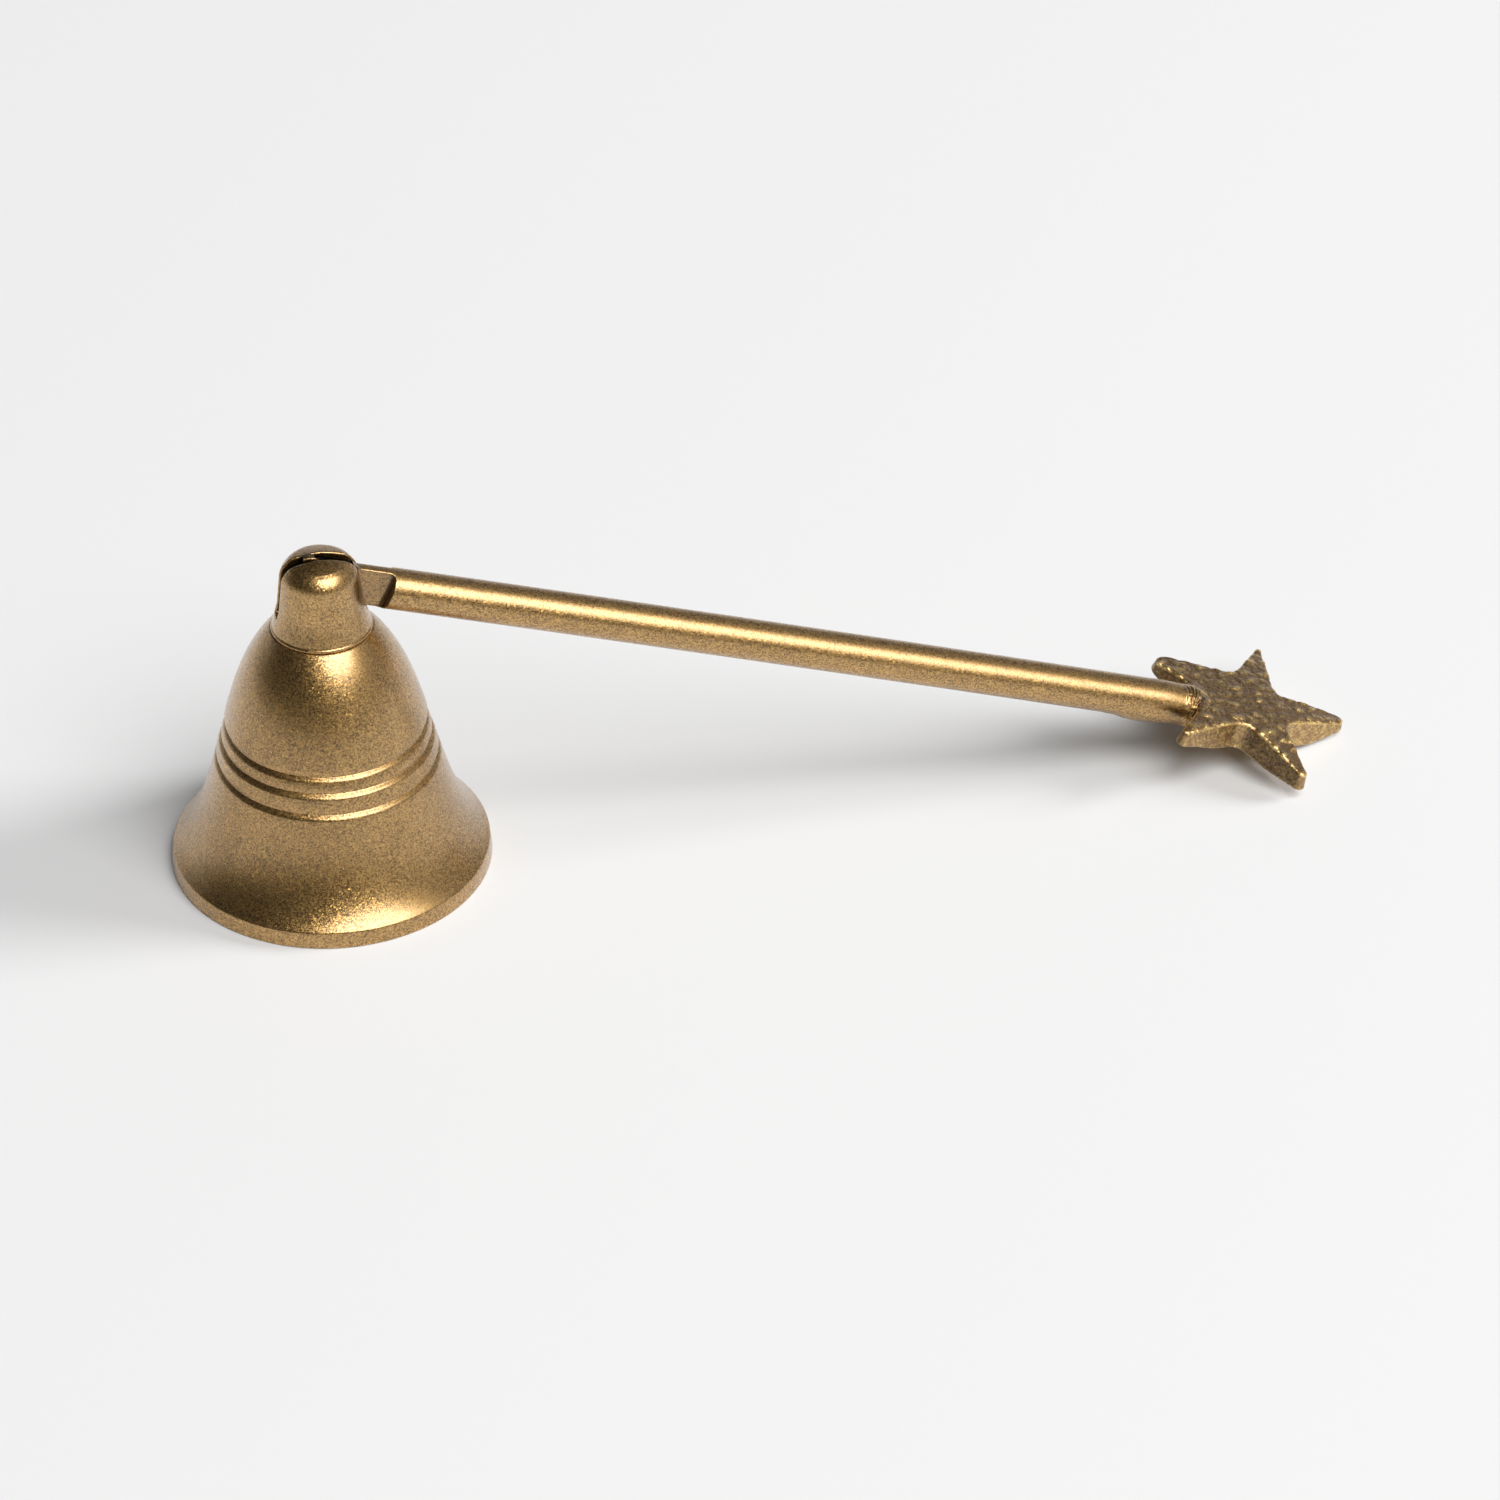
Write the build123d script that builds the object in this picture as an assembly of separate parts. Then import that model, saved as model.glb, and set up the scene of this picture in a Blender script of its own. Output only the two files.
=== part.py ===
from build123d import *
from math import asin, atan2, cos, degrees, hypot, pi, radians, sin, sqrt, tan
import os

# Candle snuffer: a turned bell with a slotted knuckle screwed to its crown, and a round rod
# handle that hinges in the slot and carries a cast star welded to its far end.
# Lengths are in millimetres and angles in degrees. The origin is the centre of the bell's rim,
# on the table. +X runs towards the handle, +Y along the hinge pin and +Z up.

# Bell
rim_diameter = 46.5
rim_band_height = 2.5
rim_band_taper = 0.3
rim_edge_round = 0.25
waist_diameter = 28.5
waist_height = 24.6
dome_overhang = 0.3
crown_ledge = 0.1
crown_height = 40.0
crown_thickness = 2.0
bell_wall = 1.65

# How far along its run and up its rise each middle point of the bell's two curves lies
flare_curve_shares = ((0.62, 0.237), (0.714, 0.709))
dome_curve_shares = ((0.18, 0.325), (0.436, 0.734))
# The inner wall is the outer one moved in and down, which keeps it evenly thick on a slant
wall_in_share = 0.88
wall_down_share = 0.61

# The three turned grooves above the flare, each placed by how far its upper edge is below the waist
groove_drops = (0.0, 2.6, 5.7)
groove_size_shares = (1.2, 1.0, 1.0)
groove_depth = 0.35
groove_floor = 0.8
groove_flank_slope = 32.0

# Knuckle, with its heights measured up from the crown
foot_diameter = 14.6
foot_round = 0.35
neck_diameter = 12.3
neck_height = 4.4
shoulder_diameter = 11.5
shoulder_height = 8.2
brow_diameter = 6.6
top_dome_rise = 0.45
ear_rise = 0.78
slot_floor_height = 2.55
foot_curve_shares = ((0.36, 0.33), (0.88, 0.72))
shoulder_curve_shares = ((0.08, 0.52), (0.41, 0.846))
top_curve_shares = ((0.33, 0.66), (0.67, 1.0))

# Stud under the knuckle, with the washer and thin hexagon nut that hold it inside the bell
stud_diameter = 5.0
stud_hole_clearance = 0.15
stud_end_proud = 0.6
stud_chamfer = 0.5
washer_diameter = 10.0
washer_thickness = 1.0
nut_across_flats = 8.0
nut_height = 2.7
nut_corner_slope = 30.0
nut_sides = 6

# Hinge pin, pressed into both ears and free in the tongue
pin_diameter = 2.5
pin_running_clearance = 0.05

# Handle, along its own line from the pivot
rod_diameter = 6.0
tongue_thickness = 1.6
tongue_side_clearance = 0.1
tongue_floor_gap = 2.57
tongue_past_foot = 2.7
shoulder_lean_angle = 7.0
tongue_corner_round = 1.0
rod_length = 134.0
rod_end_chamfer = 0.3

# Star, laid flat across the handle's line, and the bead that welds it to the rod's end
weld_gap = 2.855
star_side_shift = 0.45
star_twist_angle = 4.0
star_reach = 15.8
star_notch_radius = 6.5
star_thickness = 3.7
star_top_rise = 1.7
star_tip_droop = 1.1
star_tip_round = 0.8
star_notch_round = 2.0
star_edge_round = 0.8
bead_proud = 0.15
bead_nose_length = 3.0
bead_straight_length = 1.2
star_rest_gap = 0.02

# The cast arms are a little uneven: the angle of each tip and notch in degrees, and its size
arm_angles = (2.0, 71.0, 146.5, 216.0, 290.7)
arm_reach_shares = (0.987, 1.007, 1.006, 1.032, 0.992)
arm_round_shares = (1.1, 0.85, 1.9, 1.3, 1.2)
notch_angles = (40.0, 98.0, 180.0, 246.8, 319.1)
notch_reach_shares = (0.85, 0.98, 0.93, 0.94, 0.99)

# How far a cutting shape runs past what it cuts
overrun = 1.0
halving_steps = 50
full_turn = 360.0
quarter_turn = 90.0

# Worked out from the sizes above
rim_radius = rim_diameter / 2
crease_radius = rim_radius - rim_band_taper
waist_radius = waist_diameter / 2
dome_foot_radius = waist_radius + dome_overhang
foot_radius = foot_diameter / 2
crown_radius = foot_radius + crown_ledge
wall_in = bell_wall * wall_in_share
wall_down = bell_wall * wall_down_share
ceiling_height = crown_height - crown_thickness
groove_heights = [waist_height - drop for drop in groove_drops]
stud_radius = stud_diameter / 2
stud_hole_radius = stud_radius + stud_hole_clearance
rod_radius = rod_diameter / 2
pivot_rise = slot_floor_height + tongue_floor_gap + rod_radius
pivot_height = crown_height + pivot_rise
knuckle_height = pivot_rise + rod_radius + ear_rise
brow_height = knuckle_height - top_dome_rise
slot_width = tongue_thickness + 2 * tongue_side_clearance
tongue_length = foot_radius + tongue_past_foot
bead_radius = rod_radius + bead_proud
star_distance = rod_length + weld_gap + star_notch_radius * notch_reach_shares[2]
star_bottom_drop = star_thickness - star_top_rise


def curve_between(start, end, shares):
    """The four control points of a curve from start to end, all as (radius, height)."""
    run = end[0] - start[0]
    rise = end[1] - start[1]
    middle = [(start[0] + run * along, start[1] + rise * up) for along, up in shares]
    return [start, *middle, end]


def curve_point(points, t):
    """The (radius, height) that such a curve reaches at t, which runs from 0 to 1 along it."""
    weights = ((1 - t) ** 3, 3 * t * (1 - t) ** 2, 3 * t ** 2 * (1 - t), t ** 3)
    radius = sum(weight * point[0] for weight, point in zip(weights, points))
    height = sum(weight * point[1] for weight, point in zip(weights, points))
    return radius, height


def radius_at(points, wanted_height):
    """The radius of such a curve at a height, found by halving it again and again."""
    low, high = 0.0, 1.0
    for _ in range(halving_steps):
        middle = (low + high) / 2
        if curve_point(points, middle)[1] < wanted_height:
            low = middle
        else:
            high = middle
    return curve_point(points, low)[0]


def turned(edges):
    """The solid that a closed outline in (radius, height) makes when it is turned round Z."""
    return revolve(Plane.XZ * make_face(edges), Axis.Z, full_turn)


flare_curve = curve_between(
    (crease_radius, rim_band_height), (waist_radius, waist_height), flare_curve_shares)
dome_curve = curve_between(
    (dome_foot_radius, waist_height), (crown_radius, crown_height), dome_curve_shares)


def moved_inwards(point):
    """A point of the bell's outer wall, moved to the inner wall."""
    return (point[0] - wall_in, point[1] - wall_down)


def bell_outside():
    """The bell before it is hollowed: rim band, flare, dome and flat crown."""
    return turned([
        Line((0, 0), (rim_radius, 0)),
        Line((rim_radius, 0), flare_curve[0]),
        Bezier(*flare_curve),
        Line(flare_curve[-1], dome_curve[0]),
        Bezier(*dome_curve),
        Line(dome_curve[-1], (0, crown_height)),
        Line((0, crown_height), (0, 0)),
    ])


def bell_hollow():
    """The space inside the bell, open at the rim and flat under the crown."""
    rim = moved_inwards(flare_curve[0])
    waist = moved_inwards(flare_curve[-1])
    top = moved_inwards(dome_curve[-1])
    below = -overrun
    space = turned([
        Line((0, below), (rim[0], below)),
        Line((rim[0], below), rim),
        Bezier(*curve_between(rim, waist, flare_curve_shares)),
        Bezier(*curve_between(waist, top, dome_curve_shares)),
        Line(top, (0, top[1])),
        Line((0, top[1]), (0, below)),
    ])
    above_ceiling = Pos(0, 0, ceiling_height) * Cylinder(
        rim_radius, crown_height, align=(Align.CENTER, Align.CENTER, Align.MIN))
    return space - above_ceiling


def groove(height, size_share):
    """The ring that a turned groove removes: a sharp upper edge, a floor and a slanted flank."""
    curve = dome_curve if height >= waist_height else flare_curve
    inner = radius_at(curve, height) - groove_depth * size_share
    outer = inner + groove_depth * size_share + overrun
    floor_end = height - groove_floor * size_share
    flank_end = floor_end - (outer - inner) * tan(radians(groove_flank_slope))
    corners = [(inner, height), (inner, floor_end), (outer, flank_end), (outer, height)]
    return turned(Polyline(*corners, close=True))


def bell():
    """The hollow turned bell with its rounded rim, three grooves and the stud's hole."""
    body = bell_outside()
    rim_edges = body.edges().filter_by(GeomType.CIRCLE).sort_by(Axis.Z)[:2]
    body = fillet(rim_edges, rim_edge_round)
    body -= bell_hollow()
    for height, size_share in zip(groove_heights, groove_size_shares):
        body -= groove(height, size_share)
    hole = Pos(0, 0, crown_height) * Cylinder(stud_hole_radius, 2 * (crown_thickness + overrun))
    return body - hole


def knuckle_post():
    """The knuckle's outer shape, turned: foot, neck, rounded shoulder and shallow top."""
    def at(diameter, height):
        return (diameter / 2, crown_height + height)
    foot = at(foot_diameter, foot_round)
    seat = at(foot_diameter - 2 * foot_round, 0)
    neck = at(neck_diameter, neck_height)
    shoulder = at(shoulder_diameter, shoulder_height)
    brow = at(brow_diameter, brow_height)
    top = at(0, knuckle_height)
    return turned([
        Line(at(0, 0), seat),
        RadiusArc(seat, foot, -foot_round),
        Bezier(*curve_between(foot, neck, foot_curve_shares)),
        Line(neck, shoulder),
        Bezier(*curve_between(shoulder, brow, shoulder_curve_shares)),
        Bezier(*curve_between(brow, top, top_curve_shares)),
        Line(top, at(0, 0)),
    ])


def stud():
    """The knuckle's threaded end, drawn at its outside diameter, down through the crown."""
    length = crown_thickness + washer_thickness + nut_height + stud_end_proud
    shank = Pos(0, 0, crown_height) * Cylinder(
        stud_radius, length, align=(Align.CENTER, Align.CENTER, Align.MAX))
    return chamfer(shank.edges().sort_by(Axis.Z)[0], stud_chamfer)


def pin_rod(diameter):
    """A rod along the hinge line, longer than the knuckle is wide."""
    rod = Cylinder(diameter / 2, foot_diameter + overrun)
    return Pos(0, 0, pivot_height) * Rot(quarter_turn, 0, 0) * rod


def knuckle():
    """The slotted post with its stud and the hole for the hinge pin."""
    slot = Pos(0, 0, crown_height + slot_floor_height) * Box(
        foot_diameter + overrun, slot_width, knuckle_height,
        align=(Align.CENTER, Align.CENTER, Align.MIN))
    return knuckle_post() + stud() - slot - pin_rod(pin_diameter)


def hinge_pin():
    """The pin, dressed flush with the outside of both ears."""
    return pin_rod(pin_diameter) & knuckle_post()


def crown_washer():
    """The flat washer between the crown and the nut."""
    disc = Cylinder(washer_diameter / 2, washer_thickness)
    disc -= Cylinder(stud_hole_radius, 2 * washer_thickness)
    return Pos(0, 0, ceiling_height - washer_thickness / 2) * disc


def crown_nut():
    """The thin hexagon nut on the stud, with its corners turned off at both ends."""
    flat_radius = nut_across_flats / 2
    half_height = nut_height / 2
    hexagon = RegularPolygon(flat_radius, nut_sides, major_radius=False)
    prism = extrude(hexagon, half_height, both=True)
    corner_radius = flat_radius / cos(pi / nut_sides)
    turned_off = (corner_radius - flat_radius) * tan(radians(nut_corner_slope))
    cone = turned(Polyline(
        (0, -half_height), (flat_radius, -half_height),
        (corner_radius, turned_off - half_height), (corner_radius, half_height - turned_off),
        (flat_radius, half_height), (0, half_height), close=True))
    nut = (prism & cone) - Cylinder(stud_radius, 2 * nut_height)
    return Pos(0, 0, ceiling_height - washer_thickness - nut_height / 2) * nut


def rest_slope():
    """The handle's slope below level when the rounded edge of the front tip meets the table."""
    along = star_distance + star_reach * arm_reach_shares[0] - star_edge_round
    below = star_bottom_drop - star_edge_round
    height = pivot_height - star_edge_round - star_rest_gap
    return degrees(asin(height / hypot(along, below)) - atan2(below, along))


def on_handle(shape):
    """A shape drawn along the handle's own line, turned down to rest and moved to the pivot."""
    return Pos(0, 0, pivot_height) * Rot(0, rest_slope(), 0) * shape


def beside_tongue(side):
    """What is milled off one side of the rod to leave the tongue."""
    flat = side * tongue_thickness / 2
    outside = side * (rod_radius + overrun)
    start = -tongue_length - rod_diameter
    face = make_face(Polyline((start, flat), (0, flat), (0, outside), (start, outside), close=True))
    corner = face.vertices().sort_by_distance((0, flat))[0]
    milled = extrude(fillet(corner, tongue_corner_round), rod_diameter, both=True)
    return Pos(tongue_length, 0, 0) * Rot(0, shoulder_lean_angle, 0) * milled


def handle_rod():
    """The round rod, with its near end milled to a tongue and rounded about the pivot."""
    length = rod_length + rod_radius
    rod = Pos(-rod_radius, 0, 0) * Rot(0, quarter_turn, 0) * Cylinder(
        rod_radius, length, align=(Align.CENTER, Align.CENTER, Align.MIN))
    rod = chamfer(rod.edges().filter_by(GeomType.CIRCLE).sort_by(Axis.X)[-1], rod_end_chamfer)
    round_end = Rot(quarter_turn, 0, 0) * Cylinder(rod_radius, rod_diameter)
    ahead = Box(
        length + overrun, 2 * rod_diameter, 2 * rod_diameter,
        align=(Align.MIN, Align.CENTER, Align.CENTER))
    rod &= round_end + ahead
    for side in (1, -1):
        rod -= beside_tongue(side)
    rod -= Rot(quarter_turn, 0, 0) * Cylinder(pin_diameter / 2 + pin_running_clearance, rod_diameter)
    return rod


def polar(angle, radius):
    """The point at an angle in degrees and a distance from the star's middle."""
    return (radius * cos(radians(angle)), radius * sin(radians(angle)))


def touch_point(corner, centre, radius, side):
    """Where the line from a corner touches the round of a tip, on its left or right side."""
    away = (corner[0] - centre[0], corner[1] - centre[1])
    distance = hypot(*away)
    turn = atan2(away[1], away[0]) + side * atan2(sqrt(distance ** 2 - radius ** 2), radius)
    return (centre[0] + radius * cos(turn), centre[1] + radius * sin(turn))


def star_outline():
    """The star seen from above: five rounded arms with a rounded notch between each two."""
    notches = [
        polar(angle, star_notch_radius * share)
        for angle, share in zip(notch_angles, notch_reach_shares)]
    edges = []
    for i, angle in enumerate(arm_angles):
        tip = polar(angle, star_reach * arm_reach_shares[i])
        tip_radius = star_tip_round * arm_round_shares[i]
        centre = polar(angle, star_reach * arm_reach_shares[i] - tip_radius)
        before = touch_point(notches[i - 1], centre, tip_radius, 1)
        after = touch_point(notches[i], centre, tip_radius, -1)
        edges.append(Line(notches[i - 1], before))
        edges.append(ThreePointArc(before, tip, after))
        edges.append(Line(after, notches[i]))
    face = make_face(edges)
    for notch in notches:
        corner = face.vertices().sort_by_distance(notch)[0]
        face = fillet(corner, star_notch_round)
    return face


def star_body():
    """The cast star in its own frame: flat below, gently domed above, its lower edge rounded."""
    prism = extrude(star_outline(), star_thickness)
    prism = fillet(prism.faces().sort_by(Axis.Z)[0].edges(), star_edge_round)
    dome_radius = (star_reach ** 2 + star_tip_droop ** 2) / (2 * star_tip_droop)
    domed = prism & Pos(0, 0, star_thickness - dome_radius) * Sphere(dome_radius)
    return Pos(0, 0, -star_bottom_drop) * domed


def star():
    """The star in its place across the rod's end, with the slight twist it was welded at."""
    turned_star = Rot(star_twist_angle, 0, 0) * Pos(0, star_side_shift, 0) * star_body()
    return Pos(star_distance, 0, 0) * turned_star


def weld_bead():
    """The bead between the rod's end and the notch of the star: a short collar with a round nose."""
    nose_start = rod_length + bead_straight_length
    nose_end = nose_start + bead_nose_length
    outline = [
        Line((rod_length, 0), (rod_length, bead_radius)),
        Line((rod_length, bead_radius), (nose_start, bead_radius)),
        EllipticalCenterArc((nose_start, 0), bead_nose_length, bead_radius, arc_size=quarter_turn),
        Line((nose_end, 0), (rod_length, 0)),
    ]
    return revolve(make_face(outline), Axis.X, full_turn) - star()


parts = {
    "bell": bell(),
    "knuckle": knuckle(),
    "hinge_pin": hinge_pin(),
    "crown_washer": crown_washer(),
    "crown_nut": crown_nut(),
    "handle_rod": on_handle(handle_rod()),
    "star": on_handle(star()),
    "weld_bead": on_handle(weld_bead()),
}

os.makedirs("parts", exist_ok=True)
for node, shape in parts.items():
    export_step(shape, f"parts/{node}.step")

print(f"rest slope {rest_slope():.3f} degrees, pivot height {pivot_height:.2f}")
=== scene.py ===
import math

import bpy
import numpy as np
from mathutils import Matrix, Vector, noise


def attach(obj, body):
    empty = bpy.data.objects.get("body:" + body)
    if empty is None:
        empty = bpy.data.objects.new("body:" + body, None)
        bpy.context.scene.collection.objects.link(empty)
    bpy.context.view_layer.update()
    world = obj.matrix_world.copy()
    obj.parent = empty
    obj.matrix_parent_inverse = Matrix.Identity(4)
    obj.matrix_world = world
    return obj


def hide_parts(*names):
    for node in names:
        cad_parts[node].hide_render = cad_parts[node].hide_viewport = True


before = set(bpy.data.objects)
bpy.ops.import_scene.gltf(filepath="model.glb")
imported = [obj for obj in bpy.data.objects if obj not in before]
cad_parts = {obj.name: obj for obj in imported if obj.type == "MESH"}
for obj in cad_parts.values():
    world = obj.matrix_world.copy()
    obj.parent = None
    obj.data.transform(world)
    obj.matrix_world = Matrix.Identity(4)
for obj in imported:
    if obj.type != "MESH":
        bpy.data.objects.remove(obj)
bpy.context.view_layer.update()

# Candle snuffer in satin gold-bronze paint: a turned bell, a slotted knuckle, and a hinged round
# handle with a cast star welded to its end. Sizes are in millimetres and angles in degrees, and
# mm turns them into metres. The handle's pieces are drawn on the handle's own line: s runs from
# the pivot to the star, y sideways and u upwards.
mm = 0.001

# Bell, with the same sizes as its solid
rim_radius = 23.25
crease_radius = 22.95
rim_band_height = 2.5
rim_round = 0.3
crease_round = 0.2
waist_radius = 14.25
waist_height = 24.6
dome_foot_radius = 14.55
crown_radius = 7.4
crown_height = 40.0
crown_round = 0.2
ceiling_height = 38.0
stud_hole_radius = 2.65
wall_in = 1.452
wall_down = 1.0065
flare_curve_shares = ((0.62, 0.237), (0.714, 0.709))
dome_curve_shares = ((0.18, 0.325), (0.436, 0.734))
groove_heights = (24.6, 22.0, 18.9)
groove_depths = (0.42, 0.35, 0.35)
groove_floors = (0.96, 0.8, 0.8)
groove_flank_slope = 32.0
flank_reach_share = 3.0
flank_points = 400
lip_round = 0.16
groove_corner_round = 0.12
flank_round = 0.35
bell_segments = 288
curve_steps = 40

# Knuckle. Its heights are measured up from the crown, apart from the stud's end and the pivot's
# height, which are above the floor.
foot_radius = 7.3
foot_round = 0.3
foot_bead_end = 60.0
above_foot = (7.08, 0.66)
neck = (6.15, 4.4)
shoulder = (5.75, 8.2)
brow = (4.5, 10.8)
cap_start = (3.9, 11.15)
knuckle_height = 11.9
foot_curve_shares = ((0.36, 0.33), (0.88, 0.72))
shoulder_curve_shares = ((0.08, 0.55), (0.55, 0.75))
top_curve_shares = ((0.3, 0.52), (0.67, 1.0))
slot_half_width = 0.9
slot_floor_height = 2.55
slot_edge_round = 0.2
stud_radius = 2.5
stud_end = 33.7
stud_round = 0.45
thread_pitch = 0.8
thread_depth = 0.22
pivot_height = 48.12
knuckle_cell = 0.13

# Painted shade in the slot: where it fades past the walls, how dark it is, and over what depths it grows
slot_grime_fade = (0.05, 0.25)
slot_grime = 0.9
slot_grime_depths = (0.05, 1.2)

# Hinge pin, which shows only inside the slot
pin_radius = 1.25
pin_half_length = 4.5
pin_round = 0.3
pin_segments = 48

# Handle
rest_slope = 17.018
rod_radius = 3.0
rod_length = 134.0
rod_bow = 0.2
tongue_half_width = 0.8
tongue_length = 10.0
tongue_fillet = 1.0
tongue_edge_round = 0.16
shoulder_lean = 7.0
pin_hole_radius = 1.3
swell = 0.7
swell_places = (119.5, 122.0, 123.4, 125.6, 127.8, 130.0, 132.0, 134.0)
swell_shares = (0.0, 0.25, 0.72, 0.96, 0.84, 0.6, 0.33, 0.1)
swell_narrowness = 1.5
least_radius = 0.1
end_drop = 0.45
end_drop_start = 128.5
end_drop_end = 135.0
rod_cell = 0.13
rod_long_cell = 0.9
fine_past_tongue = 2.0

# The low crest on the tongue's edge in the slot. Its top runs at one distance from the pivot,
# which is measured with a stretch behind the pivot and with a square corner.
crest_rise = 0.52
crest_end = (3.6, 5.2)
crest_half_width = 0.66
crest_squareness = 3.0
crest_stretch = 0.84
crest_skew = -0.07
crest_side_limit = 0.84
crest_bumps = 0.06
crest_bump_size = 0.35

# Tongue: painted shade below the crest, on the milled shoulder and the flats; grime in patches on the crest
slot_marks_end = (4.4, 5.3)
hidden_rise = 0.35
patch_grime = 0.5
patch_size = 0.45
patch_shift = 3.0
patch_lean = 0.08
patch_edge = (0.0, 0.35)
shoulder_grime = 0.8
shoulder_grime_start = (5.0, 6.0)
shoulder_facing = (0.2, 0.6)
flat_grime = 0.3
flat_facing = (0.7, 0.95)
flat_margins = (0.5, 0.1)

# The spot that the weld's heat has darkened, on the near side just before the rod's end: its place
# and its stretch along s, y and u, and its edge and its lumps in stretched millimetres
burn_place = (130.3, -2.9, -0.2)
burn_stretch = (0.55, 1.0, 1.1)
burn_grime = 0.5
burn_edge = (0.3, 1.0)
burn_raggedness = 0.3
burn_lump_size = 0.6

# Weld bead
bead_start = 131.2
bead_nose_start = 132.9
bead_nose_length = 3.0
bead_proud = 0.24
bead_fade = 2.6
bead_tuck = 0.05
bead_tuck_length = 0.4
ripple_pitch = 0.58
ripple_height = 0.14
ripple_lean = 0.45
ripple_wander = 0.7
ripple_wander_size = 2.0
ripple_evenness = 0.7
ripple_start = (0.2, 1.4)
ripple_side = (-1.0, 0.6)
bead_bump_height = 0.09
bead_bump_size = 0.45
bead_cell = 0.1

# The star's root at the weld: its fillet, how far inside the bead it runs, and where it starts past
# the start of the bead's nose
weld_fillet = 1.5
weld_inset = 0.08
weld_start = 1.0

# Star
star_distance = 142.9
star_side_shift = 0.45
star_twist = 4.0
star_reach = 15.8
star_notch_radius = 6.5
star_top = 1.85
star_bottom = -2.5
star_tip_droop = 1.1
star_tip_round = 0.8
star_notch_round = 1.9
star_draft = 0.2
draft_from = 1.0
star_margin = 1.2
star_top_round = 0.4
star_bottom_round = 0.35
arm_angles = (2.0, 71.0, 146.5, 216.0, 290.7)
arm_reach_shares = (0.987, 1.007, 1.006, 1.032, 0.992)
arm_round_shares = (1.8, 0.95, 2.6, 1.5, 1.3)
arm_lifts = (-0.35, 0.0, 0.1, 0.75, -0.35)
arm_bottom_lifts = (1.9, 1.9, 1.6, 0.9, 0.7)
bottom_lift_start = 9.0
notch_angles = (33.5, 101.5, 180.0, 246.8, 319.1)
notch_reach_shares = (0.92, 1.12, 1.12, 0.94, 0.99)
tip_points = 10
notch_steps = 8
star_cell = 0.12

# The star's tooled face: rows of short lumps, their lean, spacing, length and height, and how far
# and over what lengths rows and lumps wander
row_lean = 13.0
row_spacing = 1.65
row_wander = 0.4
row_wander_size = 2.6
row_shares = (0.45, 0.55)
lump_length = 2.0
lump_height = 0.24
lump_wander = 0.6
lump_wander_size = 1.8
lump_wander_shift = 9.0
lump_peak = 1.15
lump_fall = 1.5
lump_slice = 0.5
face_turn = (0.3, 0.75)

# The casting's rough skin: large and small bumps, and their height everywhere and more on the face
rough_shares = (0.5, 0.35)
rough_sizes = (1.1, 0.45)
rough_shift = 5.0
rough_heights = (0.03, 0.1)

# Star: grime in the seam of the weld on its near side, and painted shade on the sides towards the bell
seam_grime = 0.8
seam_reach = (0.1, 0.5)
seam_side = (0.2, 1.2)
bellward_grime = 0.5
bellward_turn = (0.25, 0.7)

# The star's tone, from 0 in the hollows to 1 where it is rubbed bright
tone_middle = 0.5
tone_of_rows = 0.7
tone_of_hollows = 0.3
tone_of_rough = 0.4
tone_of_edge = 0.35
edge_turn_in = (0.3, 0.5)
edge_turn_out = (0.75, 0.93)

# Camera, at the photograph's viewing angle
camera_place = (-80.737, -751.002, 568.820)
camera_azimuth = -10.738
camera_elevation = 36.183
camera_lens = 156.0
camera_sensor = 36.0

# Lights: azimuth, elevation, distance, half angle and radiance of the large soft key light, and of
# the side light, which lights the floor and isn't seen in the metal. Distances are in metres.
key_light = (29.0, 54.0, 6.0, 24.0, 6.1)
side_light = (86.0, 22.0, 5.0, 12.0, 24.0)

# Room: its grey, how much paler it is on the right, the pale sweep behind and the floor. Where the
# room changes is given as x, y or z of a unit direction, and the floor's lengths are in metres.
room_grey = 0.05
right_grey = 0.3
right_full = 0.85
sweep_grey = 0.55
sweep_near = 0.1
sweep_far = 0.75
sweep_low = 0.12
sweep_high = 0.55
horizon_grey = 0.09
horizon_top = 0.12
floor_grey = 0.655
# The floor darkens away from the object between the fade's distances: a painted pool of light
far_floor_grey = 0.3
floor_reach = 8.0
floor_fade_start = 0.3
floor_fade_end = 1.1

# Finishes: dark and light flakes, and the near-black of grime and of painted shade. Noises are given
# as waves per millimetre, detail and roughness.
paint_dark = (0.17, 0.083, 0.01)
paint_light = (0.76, 0.45, 0.135)
paint_roughness = (0.3, 0.4)
paint_coat = 1.0
coat_roughness = 0.27
coat_ior = 1.7
flakes_per_mm = 6.0
flake_tilt = 0.14
sparkle_tilt = 0.35
sparkle_from = 0.92
flake_shares = (0.0, 0.8)
flake_range = (0.05, 0.95)
mottle_noise = (0.35, 4.0)
mottle_shares = (0.0, 0.1)
grime_colour = (0.012, 0.011, 0.012)
cast_dark = (0.31, 0.18, 0.075)
cast_light = (1.0, 0.7, 0.25)
cast_flake_tilt = 0.4
cast_flake_shares = (0.0, 0.35)
cast_flake_range = (0.4, 1.0)
cast_coat = 0.6
cast_noise = (2.6, 4.0, 0.65)
cast_noise_tone = (-0.25, 0.25)
cast_tone_range = (0.42, 0.88)
cast_bump = 0.6
cast_bump_depth = 0.15
steel_dark = (0.5, 0.5, 0.49)
steel_light = (0.68, 0.68, 0.66)
steel_roughness = (0.42, 0.28)
steel_mottle_noise = (0.8, 4.0)
turning_noise = (7.0, 2.0)
turning_bump = 0.2
turning_bump_depth = 0.03


def curve_points(start, end, shares, steps=curve_steps):
    """Points along a curve from start to end, with two middle control points at shares of the way."""
    start, end = np.array(start, float), np.array(end, float)
    b, c = (start + (end - start) * np.array(share) for share in shares)
    t = np.linspace(0, 1, steps + 1)[:, None]
    return (1 - t) ** 3 * start + 3 * t * (1 - t) ** 2 * b + 3 * t ** 2 * (1 - t) * c + t ** 3 * end


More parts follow.
